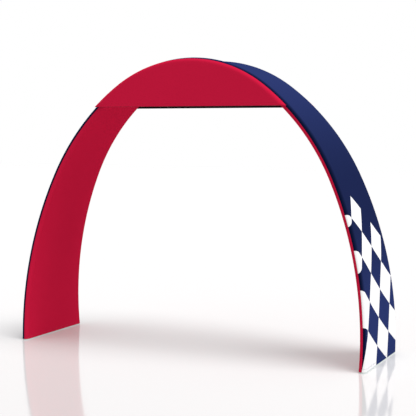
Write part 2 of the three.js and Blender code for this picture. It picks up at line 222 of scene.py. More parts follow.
@dataclass(frozen=True)
class Knit:
    """Warp-knitted polyester: fine ribs along the cloth, loops across them, and a soft nap."""

    colour: Colour
    rib: float = 0.0011  # one rib to the next
    loop: float = 0.0008  # one loop to the next along a rib
    rib_height: float = 0.00007
    mottle: float = 0.05  # how far the dye varies over a few millimetres
    bloom: float = 0.03  # how far it varies over half a metre
    roughness: float = 0.72
    sheen: float = 0.10
    sheen_roughness: float = 0.50
    sheen_tint: Colour = (1.0, 0.02, 0.09)
    specular: float = 0.0
    pucker: float = 0.00035  # how deep the seam draws the cloth in between its stitches
    pucker_pitch: float = 0.011
    pucker_width: float = 0.013  # how far in from the seam it dies away
    # painted shade in the seam's groove: its width, and how much darker it is
    groove_width: float = 0.0022
    groove_shade: float = 0.25
    knit_shade: float = 0.10  # painted shade: how much darker the knit is in its hollows
    sewn_shade: float = 0.12  # painted shade along a row of stitches
    sewn_depth: float = 0.0002
    sewn_run: tuple[float, float] = (0.0002, 0.0011)  # from the stitches to where the cloth is level
    speckle_scale: float = 620.0
    cloud_scale: float = 2.1

    def cloth_colour(self, graph: Graph, across: Wire, along: Wire, seam: Wire) -> ColourOrWire:
        """The plain cloth's colour before its knit and mottle.

        Args:
            graph: the material's graph.
            across: metres across the cut from its middle.
            along: metres along the cut.
            seam: metres to the nearest seam.

        Returns:
            The colour.
        """
        return self.colour

    def knit(self, across: Wire, along: Wire) -> Wire:
        """The height of the knit, 0 to 1. Args: metres across and along. Returns: the height."""
        rib = across * (2 * math.pi / self.rib)
        sway = rib.call("SINE") * 0.22
        loop = (along / self.loop + sway).call("FRACT") - 0.5
        round_loop = 1 - loop * loop * 4
        return (rib.call("COSINE") * 0.5 + 0.5) * 0.65 + round_loop * 0.35

    def drawn_in(self, hem: Wire) -> Wire:
        """Where the hem's stitches pull the cloth in. Args: metres from the hem. Returns: 0 to 1."""
        rows = [1 - abs(hem - row).ramp(*self.sewn_run) for row in HEM_ROWS]
        return rows[0].call("MAXIMUM", rows[1])

    def dress(self, name: str) -> bpy.types.Material:
        """Builds the material. Args: name: its name. Returns: the material."""
        material, graph = new_material(name)
        across, along = graph.uv(CUT_MAP)
        seam, hem = graph.uv(EDGE_MAP)
        knit = self.knit(across, along)
        place = graph.place()
        speckle = graph.noise(place, self.speckle_scale)
        cloud = graph.noise(place, self.cloud_scale, 3.0)
        sewn = self.drawn_in(hem)
        pucker = (along * (2 * math.pi / self.pucker_pitch)).call("SINE") * 0.5 + 0.5
        near_seam = 1 - seam.ramp(0.0, self.pucker_width)
        groove = 1 - seam.ramp(0.0, self.groove_width)
        # Random tone, and painted shade in the knit's hollows, in the seam's groove and along the stitches.
        level = (
            1.0
            + (speckle - 0.5) * (2 * self.mottle)
            + (cloud - 0.5) * (2 * self.bloom)
            - (1 - knit) * self.knit_shade
            - groove * self.groove_shade
            - sewn * self.sewn_shade
        )
        colour = graph.shade(self.cloth_colour(graph, across, along, seam), level)
        rough = self.roughness + (speckle - 0.5) * 0.10
        weave = graph.relief(knit, self.rib_height)
        drawn = near_seam * pucker * self.pucker - sewn * self.sewn_depth
        graph.coat(
            {
                "Base Color": colour,
                "Roughness": rough,
                "Normal": graph.relief(drawn, 1.0, Normal=weave),
                "Sheen Weight": self.sheen,
                "Sheen Roughness": self.sheen_roughness,
                "Sheen Tint": self.sheen_tint,
                "Specular IOR Level": self.specular,
            }
        )
        return material


@dataclass(frozen=True)
class ChequeredKnit(Knit):
    """Navy knit with a leaning chequered-flag print on the right leg, and painted shade: a darker run along
    the seams, and a darker navy about half way up each leg.

    The diamonds lie in rows that lean up towards the back. A corner is named by its row, counted down from
    the top of the print, and its column, counted from the print's middle line.
    """

    colour: Colour = (0.0168, 0.0262, 0.0990)
    sheen: float = 0.03
    sheen_tint: Colour = (0.15, 0.25, 1.0)
    # painted shade along the seams, round the front and back of each tube
    painted_seam_shade: Colour = (0.0022, 0.0050, 0.0220)
    white: Colour = (0.77, 0.77, 0.77)
    painted_shade_deepest: float = 0.48  # painted shade: the navy's level at the top of the print, where it is darkest
    lower_fade: tuple[float, float] = (1.20, 0.35)  # metres up between which the painted shade lightens downwards
    upper_fade: tuple[float, float] = (1.35, 2.65)  # and upwards
    length: float = 6.2093  # the whole band, foot to foot
    print_top: float = 1.3470  # how far up the leg the print's first corner is
    climb: float = 0.1840  # how far a row climbs per metre towards the back
    bow: float = 0.045  # how much a row bows up towards both seams
    step: float = 0.1332  # a row's height at the top of the print
    step_growth: float = 0.00499  # how much longer each row gets on its way down
    diamond: float = 0.1603  # half a diamond's width
    narrowing: float = 0.0169  # how much narrower the diamonds get towards the back, in the first row
    even_row: float = 4.2  # the row by which that has died away
    middle: float = -0.1330  # where the print's middle line lies across the cloth
    drift: float = 0.0187  # how the middle line swings to the back, below this row
    drift_row: float = 4.0
    last: float = 4.0  # the lowest rank of diamonds, which runs on to the hem
    wedge: float = 0.302  # height below which a wedge of plain navy runs down beside the seam
    painted_seam_shade_run: tuple[float, float] = (0.006, 0.046)  # in from the seam, where the painted shade fades

    def chequer(self, across: Wire, up: Wire, seam: Wire) -> Wire:
        """Where the print is white.

        Args:
            across: metres across the cut from its middle.
            up: metres up the leg from its foot.
            seam: metres to the nearest seam.

        Returns:
            1 on a white diamond, else 0.
        """
        radius = SLEEVE_RADIUS
        turn = (radius * math.pi / 2 - seam).call("MAXIMUM", 0.0)
        drawn_in = turn - (turn / radius).call("SINE") * radius
        side = across - across.call("SIGN") * drawn_in
        run = self.print_top - up + side * self.climb + side * side * self.bow
        below = run.call("MAXIMUM", 0.0)
        first, growth = self.step, self.step_growth  # row n is first * n + growth * n * n below the top
        row = ((below * (4 * growth) + first * first).call("SQRT") - first) / (2 * growth)
        swing = (row - self.drift_row).call("MAXIMUM", 0.0) ** 2 * self.drift
        off = side - self.middle - swing  # column n is diamond * n - narrowing * n * n off the middle line
        uneven = (1 - row / self.even_row).call("MAXIMUM", 0.0) * (4 * self.narrowing)
        spread = (self.diamond**2 - off * uneven).call("MAXIMUM", 0.0)
        column = off * 2 / (spread.call("SQRT") + self.diamond)
        i = ((row + column) * 0.5).call("FLOOR")
        j = ((row - column) * 0.5).call("FLOOR").call("MINIMUM", self.last)
        odd = abs((i - j).call("MODULO", 2.0))
        plain = (up < self.wedge) * (seam < up * (radius * math.pi / 2 / self.wedge))
        return (odd < 0.5) * (j > -0.5) * (i > -1.5) * (run > 0.0) * (1 - plain)

    def cloth_colour(self, graph: Graph, across: Wire, along: Wire, seam: Wire) -> ColourOrWire:
        """The navy ground with its white diamonds and painted shade, darker about half way up each leg and
        along the seams. Args and Returns are as for the plain Knit.
        """
        up = self.length - along
        white = self.chequer(across, up, seam)
        # Painted shade: the navy ground is darkest 1.20 to 1.35 m from the nearer foot, and lightens below
        # and above.
        near = along.call("MINIMUM", up)
        lighter = (self.lower_fade[0] - near).ramp(0.0, self.lower_fade[0] - self.lower_fade[1])
        level = self.painted_shade_deepest + (1 - self.painted_shade_deepest) * (lighter + near.ramp(*self.upper_fade))
        ground = graph.shade(self.colour, level)
        # Painted shade: the navy darkens towards each seam.
        edge = 1 - seam.ramp(*self.painted_seam_shade_run)
        navy = graph.blend(edge, ground, self.painted_seam_shade)
        return graph.blend(white, navy, self.white)


@dataclass(frozen=True)
class Thread:
    """Sewing thread: two plies twisted round each other, a little glossier than the cloth."""

    colour: Colour
    ply: float = 0.0009
    twist_depth: float = 0.00004
    fuzz_scale: float = 900.0
    roughness: float = 0.46

    def dress(self, name: str) -> bpy.types.Material:
        """Builds the material. Args: name: its name. Returns: the material."""
        material, graph = new_material(name)
        place = graph.place()
        x, y, z = graph.split(place)
        twist = ((x + y + z) * (2 * math.pi / self.ply)).call("SINE") * 0.5 + 0.5
        fuzz = graph.noise(place, self.fuzz_scale)
        # The colour is darker where the twist is low: painted shade between the plies.
        graph.coat(
            {
                "Base Color": graph.shade(self.colour, 0.80 + twist * 0.25 + fuzz * 0.10),
                "Roughness": self.roughness + (fuzz - 0.5) * 0.20,
                "Normal": graph.relief(twist, self.twist_depth),
                "Specular IOR Level": 0.2,
            }
        )
        return material


@dataclass(frozen=True)
class Metal:
    """Drawn aluminium tube with fine lines along it, a dull oxide and rubbed places."""

    colour: Colour = (0.62, 0.63, 0.65)
    roughness: float = 0.34
    line_scale: float = 900.0
    line_depth: float = 0.00002
    patch_scale: float = 14.0
    worn_from: tuple[float, float] = (0.52, 0.72)

    def dress(self, name: str, along: tuple[float, float, float]) -> bpy.types.Material:
        """Builds the material. Args: its name, its lines' stretch on each axis. Returns: the material."""
        material, graph = new_material(name)
        lines = graph.noise(graph.place(along), self.line_scale, 3.0)
        patches = graph.noise(graph.place(), self.patch_scale, 4.0)
        worn = patches.ramp(*self.worn_from)
        colour = graph.shade(self.colour, 0.86 + lines * 0.14 + worn * 0.10)
        graph.coat(
            {
                "Base Color": colour,
                "Metallic": 1.0,
                "Roughness": self.roughness + (lines - 0.5) * 0.16 - worn * 0.08,
                "Normal": graph.relief(lines, self.line_depth),
            }
        )
        return material


@dataclass(frozen=True)
class PaintedPlate:
    """Powder-coated steel: a fine orange-peel skin that is rubbed paler along its rim."""

    colour: Colour = (0.50, 0.57, 0.55)
    worn: Colour = (0.64, 0.69, 0.67)
    roughness: float = 0.48
    rim_from: tuple[float, float] = (0.0066, 0.0080)  # metres up where the rim is rubbed
    peel_scale: float = 420.0
    peel_depth: float = 0.00008
    patch_scale: float = 46.0
    worn_from: tuple[float, float] = (0.44, 0.62)

    def dress(self, name: str) -> bpy.types.Material:
        """Builds the material. Args: name: its name. Returns: the material."""
        material, graph = new_material(name)
        place = graph.place()
        peel = graph.noise(place, self.peel_scale)
        patches = graph.noise(place, self.patch_scale, 4.0)
        height = graph.split(place)[2]
        rim = height.ramp(*self.rim_from) * patches.ramp(*self.worn_from)
        colour = graph.blend(rim, self.colour, self.worn)
        graph.coat(
            {
                "Base Color": graph.shade(colour, 0.94 + patches * 0.12),
                "Roughness": self.roughness + (patches - 0.5) * 0.20 - rim * 0.10,
                "Normal": graph.relief(peel, self.peel_depth),
                "Specular IOR Level": 0.5,
            }
        )
        return material


# ---------------------------------------- hoop line


@dataclass(frozen=True)
class Arc:
    """One bend of a hoop in its own plane, from the crown side down. Angles are above horizontal."""

    x: float
    rise: float
    radius: float
    start: float
    end: float

    def at(self, angle: float, reach: float = 0.0) -> tuple[float, float]:
        """A point of the bend. Args: the angle, and a reach outwards. Returns: x and rise."""
        radius = self.radius + reach
        return self.x + radius * math.cos(angle), self.rise + radius * math.sin(angle)

    @property
    def length(self) -> float:
        """The bend's length along the middle of the tube."""
        return self.radius * (self.start - self.end)


def rise_at(height: float, forward: float) -> float:
    """Rise in a leaned plane. Args: world height and forward distance. Returns: the rise."""
    return (height - forward * math.sin(LEAN)) / math.cos(LEAN)


def lean(side: Side, x: float, forward: float, rise: float) -> Vector:
    """From a hoop's leaned plane to the row frame.

    Args:
        side: which hoop.
        x: across the arch.
        forward: out of the plane, away from the other hoop.
        rise: up the plane.

    Returns:
        The point.
    """
    depth = FOOT_DEPTH / 2 - rise * math.sin(LEAN) + forward * math.cos(LEAN)
    return Vector((x, side.value * depth, rise * math.cos(LEAN) + forward * math.sin(LEAN)))


@dataclass(frozen=True)
class HoopLine:
    """The bent line of both hoops: a crown, a shoulder and a leg bend on each side."""

    crown_radius: float = 1.085
    shoulder_radius: float = 1.860
    leg_radius: float = 3.070
    crown_end: float = math.radians(53.5)
    shoulder_end: float = math.radians(24.9)
    arcs: tuple[Arc, Arc, Arc] = field(init=False)

    def __post_init__(self) -> None:
        """Works out the bends' centres, so that each runs smoothly into the next."""
        apex = (TOTAL_HEIGHT - SLEEVE_RADIUS) / math.cos(LEAN)
        crown = Arc(0.0, apex - self.crown_radius, self.crown_radius, math.pi / 2, self.crown_end)
        shoulder = self._next(crown, self.shoulder_radius, self.shoulder_end)
        leg = self._next(shoulder, self.leg_radius, 0.0)  # its real end is the foot, worked out next
        foot = math.asin((rise_at(FOOT_CUT, 0.0) - leg.rise) / leg.radius)
        leg = Arc(leg.x, leg.rise, leg.radius, leg.start, foot)
        object.__setattr__(self, "arcs", (crown, shoulder, leg))

    @staticmethod
    def _next(arc: Arc, radius: float, end: float) -> Arc:
        """The bend after an arc. Args: the arc, the new radius and end. Returns: the new arc."""
        shift = arc.radius - radius
        x = arc.x + shift * math.cos(arc.end)
        return Arc(x, arc.rise + shift * math.sin(arc.end), radius, arc.end, end)

    @property
    def half_length(self) -> float:
        """From the apex to a foot along the line."""
        return sum(arc.length for arc in self.arcs)

    def station(self, from_apex: float) -> tuple[Arc, float]:
        """A place on the line. Args: metres from the apex. Returns: its bend and angle."""
        left = from_apex
        for arc in self.arcs[:-1]:
            if left <= arc.length:
                return arc, arc.start - left / arc.radius
            left -= arc.length
        arc = self.arcs[-1]
        return arc, arc.start - left / arc.radius

    def length_to_height(self, height: float, reach: float, forward: float) -> float:
        """How far from the apex a line beside the hoop comes down to a height.

        Args:
            height: the level height.
            reach: how far the line lies outside the hoop line, in its plane.
            forward: how far it lies out of the plane.

        Returns:
            Metres from the apex, along the hoop line.
        """
        rise = rise_at(height, forward)
        run = 0.0
        for arc in self.arcs:
            sine = (rise - arc.rise) / (arc.radius + reach)
            angle = math.asin(max(-1.0, min(1.0, sine)))
            if angle > arc.end or arc is self.arcs[-1]:
                return run + arc.radius * (arc.start - angle)
            run += arc.length
        return run


# ---------------------------------------- mesh helpers


def spaced(start: float, stop: float, steps: int) -> list[float]:
    """Even steps. Args: first and last value, and how many steps. Returns: the values."""
    return [start + (stop - start) * i / steps for i in range(steps + 1)]


def put(name: str, data: bpy.types.ID) -> Piece:
    """Puts a mesh, lamp or camera in the scene. Args: its name and data. Returns: the new object."""
    thing = bpy.data.objects.new(name, data)
    bpy.context.scene.collection.objects.link(thing)
    return thing


def put_mesh(name: str, bm: Mesh, material: bpy.types.Material) -> Piece:
    """Puts a bmesh in the scene. Args: its name, the mesh (freed) and its look. Returns: the object."""
    mesh = bpy.data.meshes.new(name)
    bm.to_mesh(mesh)
    bm.free()
    mesh.materials.append(material)
    return put(name, mesh)


def finish_piece(name: str, bm: Mesh, material: bpy.types.Material, slot: str) -> Piece:
    """Makes a piece of the object. Args: as for put_mesh, and a slot, which is not used. Returns: the
    piece.
    """
    piece = put_mesh(name, bm, material)
    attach(piece, BODY)
    LOG.info("%s: %d faces", name, len(piece.data.polygons))
    return piece


def smooth(bm: Mesh) -> None:
    """Shades every face smooth. Args: bm: the mesh."""
    for face in bm.faces:
        face.smooth = True


Spot = tuple[Vector, tuple[float, float], tuple[float, float]]


def lay_cloth(columns: int, rows: int, spot: Callable[[int, int], Spot], flip: bool) -> Mesh:
    """Lays a flat grid of cloth over the frame.

    Args:
        columns: how many vertices across.
        rows: how many vertices along.
        spot: column and row to the point, and its place on the cut and from the edges.
        flip: True if the grid comes out facing inwards.

    Returns:
        The mesh, with both UV maps.
    """
    bm = bmesh.new()
    bmesh.ops.create_grid(bm, x_segments=columns - 1, y_segments=rows - 1, size=1.0)
    cut = bm.loops.layers.uv.new(CUT_MAP)
    edges = bm.loops.layers.uv.new(EDGE_MAP)
    found: dict[int, Spot] = {}
    for vert in bm.verts:
        i = round((vert.co.x + 1) / 2 * (columns - 1))
        j = round((vert.co.y + 1) / 2 * (rows - 1))
        found[vert.index] = spot(i, j)
    for face in bm.faces:
        for loop in face.loops:
            _, on_cut, from_edges = found[loop.vert.index]
            loop[cut].uv = on_cut
            loop[edges].uv = from_edges
    for vert in bm.verts:
        vert.co = found[vert.index][0]
    bmesh.ops.remove_doubles(bm, verts=bm.verts[:], dist=1e-5)
    if flip:
        bmesh.ops.reverse_faces(bm, faces=bm.faces[:])
    smooth(bm)
    return bm


def stitch_dip(from_edge: float) -> float:
    """How deep the stitches draw the hem in. Args: metres from the hem's edge. Returns: metres."""
    middle, spread, depth = 0.0232, 0.0009, 0.0004
    return depth * math.exp(-(((from_edge - middle) / spread) ** 2))


def hang(name: str, bm: Mesh, look: bpy.types.Material, slot: str, thickness: float) -> tuple[Piece, float]:
    """Turns one laid layer of cloth into the piece that stands for a CAD node.

    Args:
        name: the CAD node's name, which the piece's starts with.
        bm: the layer, which is freed.
        look: its finish.
        slot: a material slot's name, which is not used.
        thickness: the cloth's, which is given inwards.

    Returns:
        The piece, and the layer's area on the frame.
    """
    area = sum(face.calc_area() for face in bm.faces)
    piece = finish_piece(name + "_cloth", bm, look, slot)
    wall = piece.modifiers.new("cloth", "SOLIDIFY")
    wall.thickness = thickness
    wall.offset = -1.0
    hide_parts(name)
    return piece, area


@dataclass
class Stitching:
    """Rows of short raised stitches along the hems, gathered in one mesh."""

    pitch: float = 0.0034
    length: float = 0.0026
    width: float = 0.0007
    height: float = 0.0006
    places: list[Matrix] = field(default_factory=list)

    def row(self, spot: Callable[[float], tuple[Vector, Vector]], run: float) -> None:
        """Marks out one row.

        Args:
            spot: metres along the row to its point on the cloth and the way outwards.
            run: the row's length.
        """
        count = int(run / self.pitch)
        for number in range(count):
            here = (number + 0.5) * run / count
            point, outwards = spot(here)
            ahead = (spot(here + self.pitch / 4)[0] - spot(here - self.pitch / 4)[0]).normalized()
            aside = outwards.cross(ahead).normalized()
            turn = Matrix((ahead, aside, ahead.cross(aside))).transposed().to_4x4()
            self.places.append(Matrix.Translation(point) @ turn)

    def finish(self, name: str, thread: Thread, slot: str) -> Piece:
        """Makes every stitch and the piece. Args: its name, thread, and a slot, which is not used. Returns:
        the piece.
        """
        bm = bmesh.new()
        size = Matrix.Diagonal((self.length / 2, self.width / 2, self.height / 2, 1.0))
        bmesh.ops.create_uvsphere(bm, u_segments=6, v_segments=4, radius=1.0, matrix=size)
        step, made = 2 * self.pitch, 1
        while made < len(self.places):
            copied = bmesh.ops.duplicate(bm, geom=[*bm.verts, *bm.edges, *bm.faces])["geom"]
            fresh = [part for part in copied if isinstance(part, bmesh.types.BMVert)]
            bmesh.ops.translate(bm, verts=fresh, vec=(made * step, 0.0, 0.0))
            made *= 2
        spare = [vert for vert in bm.verts if round(vert.co.x / step) >= len(self.places)]
        bmesh.ops.delete(bm, geom=spare, context="VERTS")
        for vert in bm.verts:
            number = round(vert.co.x / step)
            vert.co = self.places[number] @ (vert.co - Vector((number * step, 0.0, 0.0)))
        smooth(bm)
        return finish_piece(name, bm, thread.dress(name), slot)


# ---------------------------------------- the sleeve


@dataclass
class Sleeve:
    """The long sleeve over both hoops, in two bands that meet in a seam along each hoop."""

    line: HoopLine
    cloth: float = 0.0012
    seam_gap: float = math.radians(0.4)
    quarter_steps: int = 10
    span_steps: int = 22
    row_pitch: float = 0.022
    saddle_depth: float = 0.009
    saddle_run: float = 0.300
    hem_width: float = 0.025
    hem_ease: float = 0.002  # the run over which the hem's step down dies away
    hem_fold: float = 0.0008
    seam_roll: float = 0.0004  # how deep the cloth turns in at the seam
    roll_run: float = 0.0022
    hem_rows: tuple[float, ...] = (0.0, 0.0008, 0.003, *HEM_LINES, 0.032)

    def rows(self) -> list[float]:
        """Metres from the left foot to every row of vertices."""
        half = self.line.half_length
        steps = round((half - self.hem_rows[-1]) / self.row_pitch)
        rising = [*self.hem_rows, *spaced(self.hem_rows[-1], half, steps)[1:]]
        falling = [2 * half - run for run in reversed(rising[:-1])]
        return [*rising, *falling]

    def columns(self) -> list[tuple[Side, float, float]]:
        """Across the band: the hoop, the angle round its tube, and the share of the flat span."""
        angles = spaced(self.seam_gap, math.pi / 2, self.quarter_steps)
        front = [(Side.FRONT, angle, 0.0) for angle in angles]
        back = [(Side.BACK, angle, 1.0) for angle in reversed(angles)]
        span = [(Side.FRONT, math.pi / 2, t) for t in spaced(0.0, 1.0, self.span_steps)[1:-1]]
        return [*front, *span, *back]

    def lift(self, run: float) -> float:
        """How far the turned hem stands proud. Args: metres from the foot. Returns: metres."""
        if run > self.hem_width + self.hem_ease:
            return 0.0
        folded = min(1.0, run / self.hem_fold)
        past = max(0.0, (run - self.hem_width + self.hem_ease / 2) / self.hem_ease)
        return HEM_LIFT * folded * (1 - min(1.0, past)) - stitch_dip(run)

    def around(self, layer: Layer, side: Side, angle: float, run: float, lift: float) -> Vector:
        """A point on the cloth round one hoop's tube.

        Args:
            layer: which band.
            side: which hoop.
            angle: round the tube from the seam.
            run: metres from the left foot along the hoop line.
            lift: how far the cloth stands proud.

        Returns:
            The point.
        """
        half = self.line.half_length
        radius = SLEEVE_RADIUS + lift
        reach = layer.value * radius * math.sin(angle)
        forward = radius * math.cos(angle)
        end = self.line.length_to_height(FOOT_CUT, reach, forward)
        from_apex = (run - half) * end / half
        arc, bend = self.line.station(abs(from_apex))
        x, rise = arc.at(bend, reach)
        return lean(side, math.copysign(x, from_apex), forward, rise)

    def point(self, layer: Layer, column: tuple[Side, float, float], run: float) -> Vector:
        """A point of a band. Args: the band, the column and the run. Returns: the point."""
        side, angle, share = column
        half = self.line.half_length
        nearest = min(run, 2 * half - run)
        lift = self.lift(nearest)
        roll = self.seam_roll * math.exp(-((angle - self.seam_gap) * SLEEVE_RADIUS / self.roll_run))
        if share in (0.0, 1.0):
            return self.around(layer, side, angle, run, lift - roll)
        front = self.around(layer, Side.FRONT, angle, run, lift)
        back = self.around(layer, Side.BACK, angle, run, lift)
        arc, bend = self.line.station(abs(run - half))
        rise = arc.at(bend)[1]
        draw = self.saddle_depth * (1 - math.exp((FOOT_CUT - rise) / self.saddle_run))
        sag = draw * 4 * share * (1 - share)
        normal = Vector((math.copysign(math.cos(bend), run - half), 0.0, math.sin(bend)))
        return front.lerp(back, share) - sag * normal

    def half_width(self, run: float) -> float:
        """From the band's middle to where the cloth starts round a tube. Args: run. Returns: metres."""
        arc, bend = self.line.station(abs(run - self.line.half_length))
        return FOOT_DEPTH / 2 - arc.at(bend)[1] * math.sin(LEAN)

    def on_band(self, layer: Layer, inset: float, run: float) -> Vector:
        """A point of a band. Args: the band, metres in from the front seam, the run. Returns: the point."""
        quarter = SLEEVE_RADIUS * (math.pi / 2 - self.seam_gap)
        flat = 2 * self.half_width(run)
        if inset < quarter:
            column = (Side.FRONT, self.seam_gap + inset / SLEEVE_RADIUS, 0.0)
        elif inset > quarter + flat:
            column = (Side.BACK, math.pi / 2 - (inset - quarter - flat) / SLEEVE_RADIUS, 1.0)
        else:
            column = (Side.FRONT, math.pi / 2, (inset - quarter) / flat)
        return self.point(layer, column, run)

    def sew(self, layer: Layer, name: str, thread: Thread, slot: str) -> Piece:
        """Sews a band's two foot hems. Args: the band, a name, thread, and a slot, which is not used.
        Returns: the piece.
        """
        stitching = Stitching()
        total = 2 * self.line.half_length
        for from_hem in HEM_ROWS:
            for run in (from_hem, total - from_hem):
                arc, bend = self.line.station(abs(run - self.line.half_length))
                sideways = math.copysign(math.cos(bend), run - self.line.half_length)
                outwards = layer.value * Vector((sideways, 0.0, math.sin(bend)))
                width = 2 * (self.half_width(run) + SLEEVE_RADIUS * (math.pi / 2 - self.seam_gap))

                def spot(inset: float) -> tuple[Vector, Vector]:
                    """Where a stitch lies. Args: metres from the seam. Returns: the point and outwards."""
                    return self.on_band(layer, inset, run), self.facing(inset, width, outwards)

                stitching.row(spot, width)
        return stitching.finish(name, thread, slot)

    def facing(self, inset: float, width: float, outwards: Vector) -> Vector:
        """Which way the cloth faces, turning forwards or back round each hoop.

        Args: metres in from the front seam, the width seam to seam, and the way the flat part faces.
        Returns: the cloth's normal.
        """
        edge = min(inset, width - inset)
        angle = min(math.pi / 2, self.seam_gap + edge / SLEEVE_RADIUS)
        forwards = Vector((0.0, -1.0 if inset < width / 2 else 1.0, 0.0))
        return outwards * math.sin(angle) + forwards * math.cos(angle)

    def build(self, layer: Layer, name: str, finish: Knit, thread: Thread, slot: str) -> Piece:
        """Builds, sews and dresses one band.

        Args: which band, the CAD node's name, the cloth, the hems' thread and the record's slot.
        Returns: the piece.
        """
        columns, rows = self.columns(), self.rows()
        total = 2 * self.line.half_length

        def spot(i: int, j: int) -> Spot:
            """Where a vertex of the flat grid goes. Args: column and row. Returns: its spot."""
            side, angle, share = columns[i]
            run = rows[j]
            flat = self.half_width(run)
            round_tube = SLEEVE_RADIUS * (math.pi / 2 - angle)
            across = flat * (2 * share - 1) if 0 < share < 1 else side.value * (flat + round_tube)
            seam = flat * (1 - abs(2 * share - 1)) + SLEEVE_RADIUS * (angle - self.seam_gap)
            return self.point(layer, columns[i], run), (across, run), (seam, min(run, total - run))

        bm = lay_cloth(len(columns), len(rows), spot, layer is Layer.OUTER)
        piece, area = hang(name, bm, finish.dress(slot + "_knit"), slot, self.cloth)
        widest = 2 * (self.half_width(0.0) + SLEEVE_RADIUS * math.pi / 2)
        self.sew(layer, name + "_stitches", thread, slot)
        return piece


# ---------------------------------------- the headers


